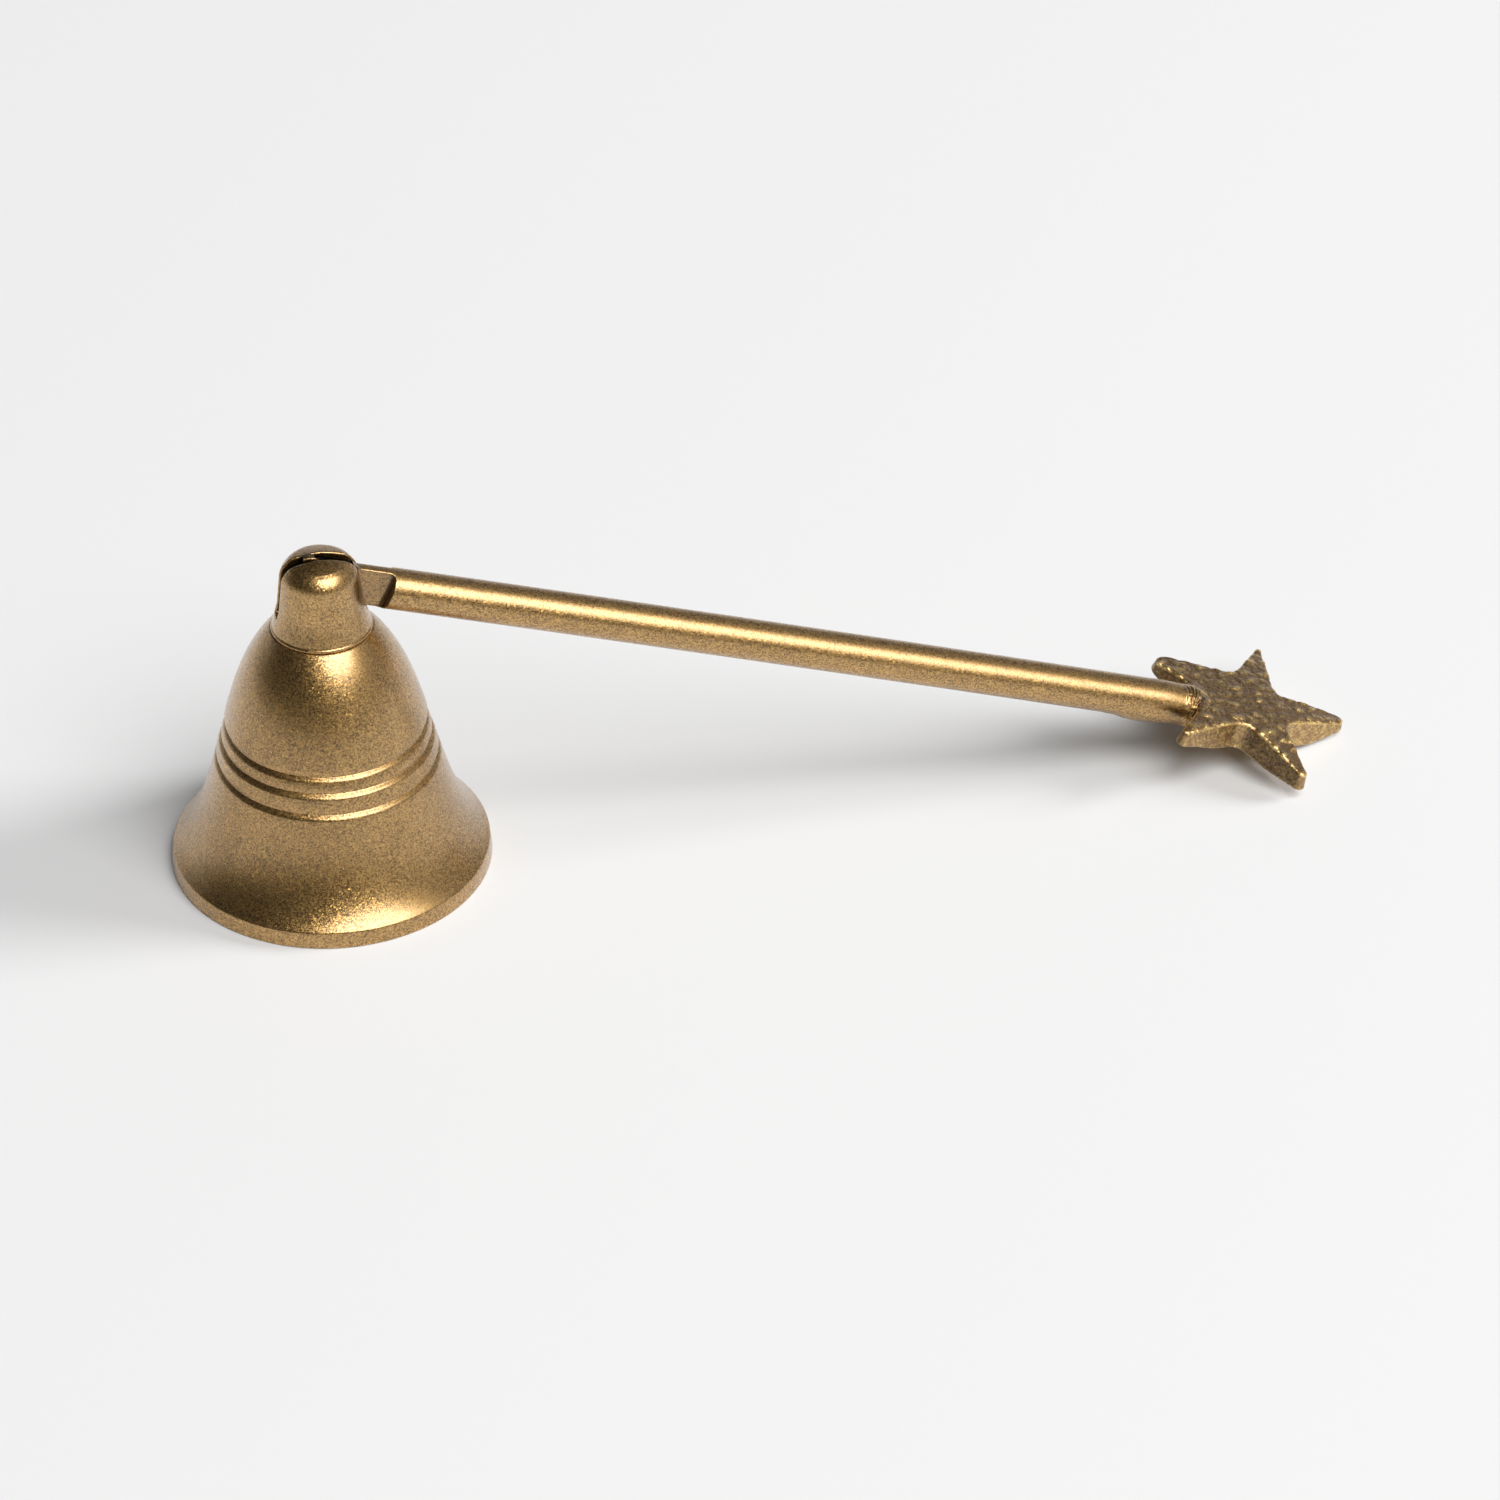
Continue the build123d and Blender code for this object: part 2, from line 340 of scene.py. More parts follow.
def rounded_line(corners, steps=6):
    """A closed line through (x, y, round) corners, each softened over the length of its round."""
    corners = np.array(corners, float)
    line = []
    for before, here, after in zip(np.roll(corners, 1, 0), corners, np.roll(corners, -1, 0)):
        if here[2] == 0:
            line.append(here[:2])
            continue
        ends = []
        for other in (before, after):
            away = other[:2] - here[:2]
            length = np.hypot(*away)
            ends.append(here[:2] + away / length * min(here[2], length / 2))
        for t in np.linspace(0, 1, steps + 1):
            line.append((1 - t) ** 2 * ends[0] + 2 * t * (1 - t) * here[:2] + t ** 2 * ends[1])
    return np.array(line)


def with_round(points, size=0.0):
    """Points with a third column, the round of each."""
    return [(*point, size) for point in points]


def turned(line, segments):
    """Vertices and quads of a closed line in (radius, height) turned round the upright axis."""
    angles = np.linspace(0, 2 * np.pi, segments, endpoint=False)
    radius, height = line[:, 0][None], line[:, 1][None]
    points = np.stack([radius * np.cos(angles)[:, None], radius * np.sin(angles)[:, None],
                       np.repeat(height, segments, 0)], -1).reshape(-1, 3)
    count = len(line)
    ring, place = np.meshgrid(np.arange(segments), np.arange(count), indexing="ij")
    next_ring, next_place = (ring + 1) % segments, (place + 1) % count
    quads = np.stack([ring * count + place, next_ring * count + place,
                      next_ring * count + next_place, ring * count + next_place], -1).reshape(-1, 4)
    return points, quads


def outline_field(points, margin=2.5, step=0.05, tiny=1e-12):
    """Signed distance to a closed outline in a plane, looked up from a fine table; negative inside."""
    points = np.array(points, float)
    low = points.min(0) - margin
    counts = np.ceil((points.max(0) + margin - low) / step).astype(int) + 1
    u, v = np.meshgrid(*(low[i] + step * np.arange(counts[i]) for i in (0, 1)), indexing="ij")
    best = np.full(u.shape, np.inf)
    inside = np.zeros(u.shape, bool)
    for a, b in zip(points, np.roll(points, -1, 0)):
        edge = b - a
        size = max(edge @ edge, tiny)
        share = np.clip(((u - a[0]) * edge[0] + (v - a[1]) * edge[1]) / size, 0, 1)
        best = np.minimum(best, np.hypot(u - a[0] - share * edge[0], v - a[1] - share * edge[1]))
        if a[1] != b[1]:
            inside ^= ((a[1] > v) != (b[1] > v)) & (u < edge[0] * (v - a[1]) / edge[1] + a[0])
    table = np.where(inside, -best, best)

    def look_up(u, v):
        x = np.clip((u - low[0]) / step, 0, counts[0] - 1.001)
        y = np.clip((v - low[1]) / step, 0, counts[1] - 1.001)
        i, j = x.astype(int), y.astype(int)
        x, y = x - i, y - j
        return ((table[i, j] * (1 - x) + table[i + 1, j] * x) * (1 - y)
                + (table[i, j + 1] * (1 - x) + table[i + 1, j + 1] * x) * y)

    return look_up


def both(a, b, size):
    """The field of what is inside both fields, with the edge between them rounded by size."""
    beyond = np.hypot(np.maximum(a + size, 0), np.maximum(b + size, 0))
    return np.minimum(np.maximum(a, b), -size) + beyond


def either(a, b, size):
    """The field of what is inside either field, with the corner between them filled by size."""
    within = np.hypot(np.maximum(size - a, 0), np.maximum(size - b, 0))
    return np.maximum(np.minimum(a, b), size) - within


def skin(field, xs, ys, zs):
    """Vertices and quads of the surface where a field is zero, on a grid of those coordinates."""
    axes = (xs, ys, zs)
    shape = tuple(len(axis) for axis in axes)
    plane = np.stack(np.meshgrid(ys, zs, indexing="ij"), -1).reshape(-1, 2)
    value = np.empty(shape)
    for i, x in enumerate(xs):
        slab = np.column_stack([np.full(len(plane), x), plane])
        value[i] = field(slab).reshape(shape[1:])
    inside = value < 0
    corners = [(i, j, k) for i in (0, 1) for j in (0, 1) for k in (0, 1)]
    cells = tuple(size - 1 for size in shape)
    held = np.zeros(cells, np.uint8)
    for corner in corners:
        held += inside[tuple(slice(o, o + m) for o, m in zip(corner, cells))]
    where = np.argwhere((held > 0) & (held < len(corners)))
    number = np.full(cells, -1)
    number[tuple(where.T)] = np.arange(len(where))
    total = np.zeros((len(where), 3))
    count = np.zeros(len(where))
    for corner in corners:
        for axis in range(3):
            if corner[axis]:
                continue
            a = where + corner
            b = a.copy()
            b[:, axis] += 1
            value_a, value_b = value[tuple(a.T)], value[tuple(b.T)]
            crosses = (value_a < 0) != (value_b < 0)
            share = np.where(crosses, value_a / np.where(crosses, value_a - value_b, 1), 0)
            place_a = np.stack([axes[n][a[:, n]] for n in range(3)], 1)
            place_b = np.stack([axes[n][b[:, n]] for n in range(3)], 1)
            total += crosses[:, None] * (place_a + share[:, None] * (place_b - place_a))
            count += crosses
    points = settled(field, total / count[:, None])
    quads = []
    for axis in range(3):
        u, v = (axis + 1) % 3, (axis + 2) % 3
        lower = np.moveaxis(inside, axis, 0)[:-1]
        upper = np.moveaxis(inside, axis, 0)[1:]
        edges = np.argwhere(np.moveaxis(lower != upper, 0, axis))
        keep = (edges[:, u] > 0) & (edges[:, u] < shape[u] - 1)
        keep &= (edges[:, v] > 0) & (edges[:, v] < shape[v] - 1)
        edges = edges[keep]
        ring = []
        for du, dv in ((-1, -1), (0, -1), (0, 0), (-1, 0)):
            cell = edges.copy()
            cell[:, u] += du
            cell[:, v] += dv
            ring.append(number[tuple(cell.T)])
        ring = np.stack(ring, 1)
        facing = inside[tuple(edges.T)]
        quads.append(np.where(facing[:, None], ring, ring[:, ::-1]))
    return points, np.concatenate(quads)


def settled(field, points, step=0.02, rounds=5, reach=0.1, least_slope=0.25):
    """Points moved down a field's slope until they lie on its surface."""
    for _ in range(rounds):
        slope = np.stack([(field(points + shift) - field(points - shift)) / (2 * step)
                          for shift in np.eye(3) * step], 1)
        size = np.maximum((slope ** 2).sum(1), least_slope)
        move = np.clip(field(points) / size, -reach, reach)
        points = points - move[:, None] * slope
    return points


def outward(points, quads, tiny=1e-12):
    """The unit normal of a mesh at each of its points."""
    a, b, c, d = (points[quads[:, i]] for i in range(4))
    across = np.cross(c - a, d - b)
    total = np.zeros_like(points)
    for i in range(4):
        np.add.at(total, quads[:, i], across)
    return total / np.maximum(np.linalg.norm(total, axis=1), tiny)[:, None]


def smooth_step(value, low, high):
    """0 below low, 1 above high and smooth between."""
    t = np.clip((value - low) / (high - low), 0, 1)
    return t * t * (3 - 2 * t)


def add_piece(name, points, quads, material, body, nodes, slot, **values):
    """A smooth mesh object, given in millimetres, that rides on a body and stands for CAD nodes.

    Each extra value is a number for each point, which the material reads by its name.
    """
    mesh = bpy.data.meshes.new(name)
    mesh.from_pydata((points * mm).tolist(), [], quads.tolist())
    mesh.shade_smooth()
    for kind, numbers in values.items():
        layer = mesh.attributes.new(kind, "FLOAT", "POINT")
        layer.data.foreach_set("value", numbers.astype(np.float32))
    mesh.materials.append(material)
    piece = bpy.data.objects.new(name, mesh)
    bpy.context.scene.collection.objects.link(piece)
    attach(piece, body)
    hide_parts(*nodes)
    return piece


def lumps(points, size, shift=0.0):
    """A smooth noise between -1 and 1 at each point, with lumps of about that size."""
    return np.array([noise.noise(Vector(point)) for point in points / size + shift])


def bell_line():
    """The bell's whole section: up its outside, through the stud's hole and down its inside."""
    crease, waist = (crease_radius, rim_band_height), (waist_radius, waist_height)
    flare = curve_points(crease, waist, flare_curve_shares)
    dome = curve_points((dome_foot_radius, waist_height), (crown_radius, crown_height), dome_curve_shares)
    line = [(rim_radius, 0, rim_round), (*crease, crease_round)]
    bottom = rim_band_height
    for height, depth, floor in reversed(list(zip(groove_heights, groove_depths, groove_floors))):
        curve = dome if height >= waist_height else flare
        lip = np.interp(height, curve[:, 1], curve[:, 0])
        floor_end = height - floor
        reach = np.linspace(0, depth * flank_reach_share, flank_points)
        drop = reach * math.tan(math.radians(groove_flank_slope))
        flank = np.column_stack([lip - depth + reach, floor_end - drop])
        meets = flank[np.argmax(flank[:, 0] >= np.interp(flank[:, 1], flare[:, 1], flare[:, 0]))]
        line += with_round(p for p in flare if bottom + flank_round < p[1] < meets[1] - flank_round)
        line += [(*meets, flank_round), (lip - depth, floor_end, groove_corner_round),
                 (lip - depth, height, groove_corner_round), (lip, height, lip_round)]
        bottom = height
    line += with_round(dome[1:-1])
    line += [(crown_radius, crown_height, crown_round), (stud_hole_radius, crown_height, 0),
             (stud_hole_radius, ceiling_height, 0)]
    inner_flare = flare - (wall_in, wall_down)
    inner_waist = (waist_radius - wall_in, waist_height - wall_down)
    inner_crown = (crown_radius - wall_in, crown_height - wall_down)
    inner_dome = curve_points(inner_waist, inner_crown, dome_curve_shares)
    ceiling = np.interp(ceiling_height, inner_dome[:, 1], inner_dome[:, 0])
    line.append((ceiling, ceiling_height, rim_round))
    line += with_round(p for p in inner_dome[::-1] if p[1] < ceiling_height - rim_round)
    line += with_round(inner_flare[::-1][1:-1])
    line += [(*inner_flare[0], rim_round), (inner_flare[0][0], 0, rim_round)]
    return rounded_line(line)


def add_bell(material):
    """The turned bell, with its lips, rim and grooves softened by the paint."""
    points, quads = turned(bell_line(), bell_segments)
    return add_piece("bell_turned", points, quads, material, "bell_head", ["bell"], "gold_paint")


def knuckle_line():
    """The closed section of the knuckle's post, on both sides of its axis."""
    side = [(foot_radius - foot_round, 0), *foot_arc(), *curve_points(above_foot, neck, foot_curve_shares),
            *curve_points(shoulder, brow, shoulder_curve_shares),
            *curve_points(cap_start, (0, knuckle_height), top_curve_shares)]
    side = np.array(side)
    other = side[-2::-1] * (-1, 1)
    return np.concatenate([side, other]) + (0, crown_height)


def foot_arc(steps=8):
    """Points round the bead at the foot's lower edge."""
    angles = np.radians(np.linspace(-90, foot_bead_end, steps + 2)[1:])
    return [(foot_radius - foot_round + foot_round * math.cos(a), foot_round + foot_round * math.sin(a))
            for a in angles]


def knuckle_field(post):
    """The field of the slotted post and its threaded stud."""

    def field(p):
        radius = np.hypot(p[:, 0], p[:, 1])
        above_floor = p[:, 2] - crown_height - slot_floor_height
        beside_slot = np.minimum(slot_half_width - np.abs(p[:, 1]), above_floor)
        body = both(post(radius, p[:, 2]), beside_slot, slot_edge_round)
        turn = p[:, 2] / thread_pitch - np.arctan2(p[:, 1], p[:, 0]) / (2 * math.pi)
        groove = thread_depth * np.abs(2 * (turn - np.floor(turn)) - 1)
        shank = both(radius - stud_radius + groove, stud_end - p[:, 2], stud_round)
        shank = np.maximum(shank, p[:, 2] - crown_height - foot_round)
        return np.minimum(body, shank)

    return field


def steps_between(low, high, cell):
    """Evenly spaced places from just below low to just above high."""
    return np.arange(low - 2 * cell, high + 2 * cell, cell)


def add_knuckle(material):
    """The knuckle, all in one with its stud."""
    across = steps_between(-foot_radius, foot_radius, knuckle_cell)
    heights = steps_between(stud_end, crown_height + knuckle_height, knuckle_cell)
    post = outline_field(knuckle_line())
    points, quads = skin(knuckle_field(post), across, across, heights)
    x, y, z = points.T
    # Painted shade inside the slot: near-black, growing darker deeper into the recess
    fade_start, fade_end = (slot_half_width + past for past in slot_grime_fade)
    in_slot = 1 - smooth_step(np.abs(y), fade_start, fade_end)
    deep = slot_grime * smooth_step(-post(np.hypot(x, y), z), *slot_grime_depths)
    return add_piece("knuckle_slotted", points, quads, material, "bell_head", ["knuckle"], "gold_paint",
                     grime=in_slot * deep)


def add_pin(material):
    """The hinge pin, whose ends are inside the ears."""
    corners = [(0, -pin_half_length, 0), (pin_radius, -pin_half_length, pin_round),
               (pin_radius, pin_half_length, pin_round), (0, pin_half_length, 0)]
    points, quads = turned(rounded_line(corners), pin_segments)
    points = points[:, [0, 2, 1]] + (0, 0, pivot_height)
    return add_piece("hinge_pin_rod", points, quads[:, ::-1], material, "bell_head", ["hinge_pin"],
                     "gold_paint")


def on_handle(points):
    """Points given as (s, y, u), turned down to rest and moved to the pivot."""
    slope = math.radians(rest_slope)
    s, y, u = points.T
    return np.stack([s * math.cos(slope) + u * math.sin(slope), y,
                     pivot_height - s * math.sin(slope) + u * math.cos(slope)], 1)


def rod_radius_field(p):
    """Distance outside the round rod, with its slight bow and the swelling under its far end."""
    s, y = p[:, 0], p[:, 1]
    share = np.clip(s / rod_length, 0, 1)
    u = p[:, 2] - rod_bow * 4 * share * (1 - share)
    u = u + end_drop * smooth_step(s, end_drop_start, end_drop_end) * np.maximum(u, 0) / rod_radius
    radius = np.hypot(y, u)
    below = np.maximum(-u / np.maximum(radius, least_radius), 0) ** swell_narrowness
    return radius - rod_radius - swell * np.interp(s, swell_places, swell_shares) * below


def crest_reach_of(s, u):
    """A point's distance from the pivot, measured so that the crest's top is all at one distance."""
    back = np.abs(np.minimum(s, 0)) * crest_stretch
    return (back ** crest_squareness + np.abs(u) ** crest_squareness) ** (1 / crest_squareness)


def rod_field(p):
    """The field of the rod with its milled tongue and the hole for the pin."""
    s, y, u = p.T
    lean = math.radians(shoulder_lean)
    before_shoulder = (s - tongue_length) * math.cos(lean) - u * math.sin(lean)
    kept = either(-before_shoulder, np.abs(y) - tongue_half_width, tongue_fillet)
    round_end = np.where(s < 0, np.hypot(s, u) - rod_radius, -rod_radius)
    body = both(np.maximum(rod_radius_field(p), s - rod_length), round_end, tongue_edge_round)
    body = both(body, kept, tongue_edge_round)
    top = rod_radius + crest_rise * (1 - smooth_step(s, *crest_end))
    crest_side = np.abs(y - crest_skew * s) - crest_half_width
    crest = both(crest_reach_of(s, u) - top, crest_side, tongue_edge_round)
    crest = np.maximum.reduce([crest, -u, s - crest_end[1], np.abs(y) - crest_side_limit])
    return both(np.minimum(body, crest), pin_hole_radius - np.hypot(s, u), tongue_edge_round / 2)


def add_rod(material):
    """The round rod with its tongue."""
    near = steps_between(-rod_radius, tongue_length + fine_past_tongue, rod_cell)
    far = steps_between(swell_places[0], rod_length, 2 * rod_cell)
    middle = np.arange(near[-1] + rod_long_cell, far[0] - rod_long_cell / 2, rod_long_cell)
    across = steps_between(-rod_radius, rod_radius, rod_cell)
    upwards = steps_between(-rod_radius - swell, rod_radius + rod_bow, rod_cell)
    points, quads = skin(rod_field, np.concatenate([near, middle, far]), across, upwards)
    normals = outward(points, quads)
    s, y, u = points.T
    in_slot = 1 - smooth_step(s, *slot_marks_end)
    reach = crest_reach_of(s, u) * (u > 0)
    on_crest = in_slot * smooth_step(reach, rod_radius, rod_radius + crest_rise)
    points = points + normals * (crest_bumps * on_crest * lumps(points, crest_bump_size))[:, None]
    # Painted shade on the tongue below the crest, where it sits hidden in the slot
    hidden = in_slot * (1 - smooth_step(reach, rod_radius, rod_radius + hidden_rise))
    patches = lumps(points, patch_size, patch_shift) - patch_lean * s
    patched = patch_grime * on_crest * smooth_step(patches, *patch_edge)
    # Painted shade on the milled shoulder's face that turns towards the bell
    shoulder_face = shoulder_grime * smooth_step(-normals[:, 0], *shoulder_facing)
    shoulder_face = shoulder_face * smooth_step(s, *shoulder_grime_start) * (s < 2 * tongue_length)
    # Painted shade on the tongue's flat faces, set by which way they face
    on_flat = smooth_step(np.abs(normals[:, 1]), *flat_facing)
    on_flat = on_flat * (np.abs(y) < tongue_half_width + flat_margins[1])
    flat_face = flat_grime * on_flat * (s < tongue_length + flat_margins[0])
    return add_piece("handle_rod_round", on_handle(points), quads, material, "handle", ["handle_rod"],
                     "gold_paint",
                     grime=np.maximum.reduce([hidden, patched, shoulder_face, flat_face, burnt(points)]))


def burnt(points):
    """How dark the weld's heat has left the paint at each point of the handle."""
    away = (points - burn_place) * burn_stretch
    distance = np.hypot(np.hypot(*away[:, :2].T), away[:, 2])
    ragged = distance + burn_raggedness * lumps(points, burn_lump_size)
    return burn_grime * (1 - smooth_step(ragged, *burn_edge))


def bead_field(p):
    """The field of the weld: a collar a little proud of the rod, with a round nose."""
    s = p[:, 0]
    past = np.maximum(s - bead_nose_start, 0) / bead_nose_length
    inwards = (1 - np.sqrt(np.maximum(1 - past ** 2, 0))) * rod_radius
    inwards = inwards + np.maximum(past - 1, 0) * bead_nose_length
    proud = bead_proud * smooth_step(s, bead_start, bead_start + bead_fade)
    tucked = bead_tuck * (s < bead_start + bead_tuck_length)
    return np.maximum(rod_radius_field(p) - proud + inwards + tucked, bead_start - s)


def add_bead(material):
    """The weld between rod and star, with its ripples."""
    along = steps_between(bead_start, bead_nose_start + bead_nose_length, bead_cell)
    across = steps_between(-rod_radius - bead_proud, rod_radius + bead_proud, bead_cell)
    upwards = steps_between(-rod_radius - swell, rod_radius + bead_proud + rod_bow, bead_cell)
    points, quads = skin(bead_field, along, across, upwards)
    normals = outward(points, quads)
    s, y, u = points.T
    wander = lumps(points, ripple_wander_size)
    wave = np.sin(2 * math.pi * (s - ripple_lean * u + ripple_wander * wander) / ripple_pitch)
    none_before, all_after = (bead_start + past for past in ripple_start)
    strength = smooth_step(s, none_before, all_after) * smooth_step(-y, *ripple_side)
    rise = strength * ripple_height * wave * (ripple_evenness + wander)
    rise = rise + bead_bump_height * strength * lumps(points, bead_bump_size)
    return add_piece("weld_ripples", on_handle(points + normals * rise[:, None]), quads, material, "handle",
                     ["weld_bead"], "gold_paint", grime=burnt(points))


def polar(angle, radius):
    """The point at an angle in degrees and a distance from the star's middle."""
    return np.array([radius * math.cos(math.radians(angle)), radius * math.sin(math.radians(angle))])


def star_line():
    """The star seen from above: five arms with rounded tips and notches."""
    notches = [polar(angle, star_notch_radius * share)
               for angle, share in zip(notch_angles, notch_reach_shares)]
    line = []
    for i, angle in enumerate(arm_angles):
        radius = star_tip_round * arm_round_shares[i]
        centre = polar(angle, star_reach * arm_reach_shares[i] - radius)
        turns = []
        for notch, side in ((notches[i - 1], 1), (notches[i], -1)):
            away = notch - centre
            distance = np.hypot(*away)
            turns.append(math.atan2(away[1], away[0]) + side * math.acos(radius / distance))
        first, last = turns
        while last < first:
            last += 2 * math.pi
        line.append((*notches[i - 1], star_notch_round))
        line += [(*(centre + radius * np.array([math.cos(a), math.sin(a)])), 0)
                 for a in np.linspace(first, last, tip_points)]
    return rounded_line(line, notch_steps)


def arm_share(x, y, values, start=2.0):
    """A value given for each arm, blended round the star and growing from start towards the tips."""
    radius = np.hypot(x, y)
    angle = np.degrees(np.arctan2(y, x)) % 360
    around = np.interp(angle, [*arm_angles, arm_angles[0] + 360], [*values, values[0]], period=360)
    return around * smooth_step(radius, start, star_reach)


def off_star(points):
    """Points in the star's own frame, moved to the handle's line."""
    twist = math.radians(star_twist)
    x, y, z = points.T
    y = y + star_side_shift
    return np.stack([x + star_distance, y * math.cos(twist) - z * math.sin(twist),
                     y * math.sin(twist) + z * math.cos(twist)], 1)


def star_field():
    """The field of the cast star in its own frame."""
    outline = outline_field(star_line())
    dome_radius = (star_reach ** 2 + star_tip_droop ** 2) / (2 * star_tip_droop)

    def field(p):
        x, y, z = p.T
        lift = arm_share(x, y, arm_lifts)
        drop = dome_radius - np.sqrt(dome_radius ** 2 - np.minimum(x ** 2 + y ** 2, dome_radius ** 2))
        top = z - (star_top - drop + lift)
        bottom = star_bottom + lift + arm_share(x, y, arm_bottom_lifts, bottom_lift_start) - z
        sides = outline(x, y) + star_draft * (z + draft_from)
        body = both(both(sides, top, star_top_round), bottom, star_bottom_round)
        past_start = weld_start - star_distance + bead_nose_start - x
        weld = np.maximum(bead_field(off_star(p)) + weld_inset, past_start)
        return either(body, weld, weld_fillet)

    return field


def add_star(material):
    """The cast star, with the rough skin of its casting as real bumps."""
    field = star_field()
    across = steps_between(-star_reach - star_margin, star_reach + star_margin, star_cell)
    upwards = steps_between(star_bottom - star_margin, star_top + star_margin, star_cell)
    points, quads = skin(field, across, across, upwards)
    normals = outward(points, quads)
    facing_bell, facing_up = -normals[:, 0], normals[:, 2]
    on_face = smooth_step(facing_up, *face_turn)
    rows = tooled_rows(points)
    rough = rough_shares[0] * lumps(points, rough_sizes[0])
    rough = rough + rough_shares[1] * lumps(points, rough_sizes[1], rough_shift)
    rough_height = rough_heights[0] + rough_heights[1] * on_face
    points = points + normals * (lump_height * on_face * rows + rough_height * rough)[:, None]
    seam = 1 - smooth_step(bead_field(off_star(points)), *seam_reach)
    seam = seam_grime * seam * smooth_step(-points[:, 1] - star_side_shift, *seam_side)
    # Painted shade on the star's sides that turn towards the bell
    bellward = bellward_grime * (1 - on_face) * smooth_step(facing_bell, *bellward_turn)
    edge = smooth_step(facing_up, *edge_turn_in) * (1 - smooth_step(facing_up, *edge_turn_out))
    tone = tone_middle + on_face * (tone_of_rows * rows - tone_of_hollows)
    tone = np.clip(tone + tone_of_rough * rough + tone_of_edge * edge, 0, 1)
    return add_piece("star_cast", on_handle(off_star(points)), quads, material, "handle", ["star"],
                     "cast_gold_paint", grime=np.maximum(seam, bellward), relief=tone)


def tooled_rows(points):
    """The height, between 0 and 1, of the rows of short lumps across the star's face."""
    lean = math.radians(row_lean)
    along = points[:, 0] * math.cos(lean) + points[:, 1] * math.sin(lean)
    across = points[:, 1] * math.cos(lean) - points[:, 0] * math.sin(lean)
    across = across / row_spacing + row_wander * lumps(points, row_wander_size)
    along = along / lump_length + lump_wander * lumps(points, lump_wander_size, lump_wander_shift)
    nearest = np.array([noise.voronoi(Vector((u, v, lump_slice)))[0][0] for u, v in zip(along, across)])
    ridges = np.cos(math.pi * (across - np.round(across))) ** 2
    return np.clip(lump_peak - lump_fall * nearest, 0, 1) * (row_shares[0] + row_shares[1] * ridges)


class Nodes:
    """A node tree that is written one node at a time."""

    def __init__(self, name):
        self.material = bpy.data.materials.new(name)
        self.material.use_nodes = True
        self.tree = self.material.node_tree
        self.tree.nodes.clear()

    def add(self, kind, settings=None, **inputs):
        """A node, with its settings, and its inputs as constants or as other nodes' outputs."""
        return add_node(self.tree, kind, settings, inputs)


def add_node(tree, kind, settings, inputs):
    """A node in a tree. An input's name has its spaces as underscores, or is i and its number."""
    node = tree.nodes.new("ShaderNode" + kind)
    for name, value in (settings or {}).items():
        setattr(node, name, value)
    for name, value in inputs.items():
        key = int(name[1:]) if name[0] == "i" and name[1:].isdigit() else name.replace("_", " ")
        socket = node.inputs[key]
        if isinstance(value, bpy.types.NodeSocket):
            tree.links.new(value, socket)
        else:
            socket.default_value = value
    return node


def millimetre_place(nodes):
    """The place on the object in millimetres, as the paint's patterns use it."""
    place = nodes.add("TexCoord").outputs["Object"]
    return nodes.add("VectorMath", {"operation": "SCALE"}, i0=place, Scale=1 / mm).outputs["Vector"]


def noise_value(nodes, place, scale, detail=2.0, roughness=0.5):
    """A noise between 0 and 1, of so many waves per millimetre."""
    texture = nodes.add("TexNoise", None, Vector=place, Scale=scale, Detail=detail, Roughness=roughness)
    return texture.outputs["Fac"]


def spread(nodes, value, low, high, start=0.3, end=0.7):
    """A value from start to end, stretched to run from low to high and held at both ends."""
    return nodes.add("MapRange", None, Value=value, From_Min=start, From_Max=end,
                     To_Min=low, To_Max=high).outputs["Result"]


def mixed(nodes, share, first, second):
    """A colour between two, each given as a constant or a socket.

    The mix node has its two colours at inputs 6 and 7 and the mixed colour at output 2.
    """
    node = nodes.add("Mix", {"data_type": "RGBA"}, i0=share)
    for socket, value in ((node.inputs[6], first), (node.inputs[7], second)):
        if isinstance(value, bpy.types.NodeSocket):
            nodes.tree.links.new(value, socket)
        else:
            socket.default_value = (*value, 1)
    return node.outputs[2]


def flake_normal(nodes, place, tilt, normal=None):
    """The surface's normal, tilted a little on each metal flake, and the flake's own numbers."""
    flakes = nodes.add("TexVoronoi", None, Vector=place, Scale=flakes_per_mm).outputs["Color"]
    centred = nodes.add("VectorMath", {"operation": "SUBTRACT"}, i0=flakes, i1=(0.5, 0.5, 0.5))
    numbers = nodes.add("SeparateColor", None, Color=flakes)
    tilt = spread(nodes, numbers.outputs["Blue"], tilt, max(tilt, sparkle_tilt), sparkle_from, 1.0)
    tilted = nodes.add("VectorMath", {"operation": "SCALE"}, i0=centred.outputs["Vector"], Scale=tilt)
    normal = normal or nodes.add("NewGeometry").outputs["Normal"]
    total = nodes.add("VectorMath", {"operation": "ADD"}, i0=normal, i1=tilted.outputs["Vector"])
    unit = nodes.add("VectorMath", {"operation": "NORMALIZE"}, i0=total.outputs["Vector"])
    return unit.outputs["Vector"], numbers


def finish_material(nodes, colour, roughness, normal, coat=paint_coat):
    """Joins a metal finish to the shader, under its clear coat, with grime and painted shade where marked.
    """
    grime = nodes.add("Attribute", {"attribute_name": "grime"}).outputs["Fac"]
    colour = mixed(nodes, grime, colour, grime_colour)
    shader = nodes.add("BsdfPrincipled", None, Base_Color=colour, Metallic=1.0, Roughness=roughness,
                       Normal=normal, Coat_Weight=coat, Coat_Roughness=coat_roughness, Coat_IOR=coat_ior)
    nodes.add("OutputMaterial", None, Surface=shader.outputs["BSDF"])
    return nodes.material


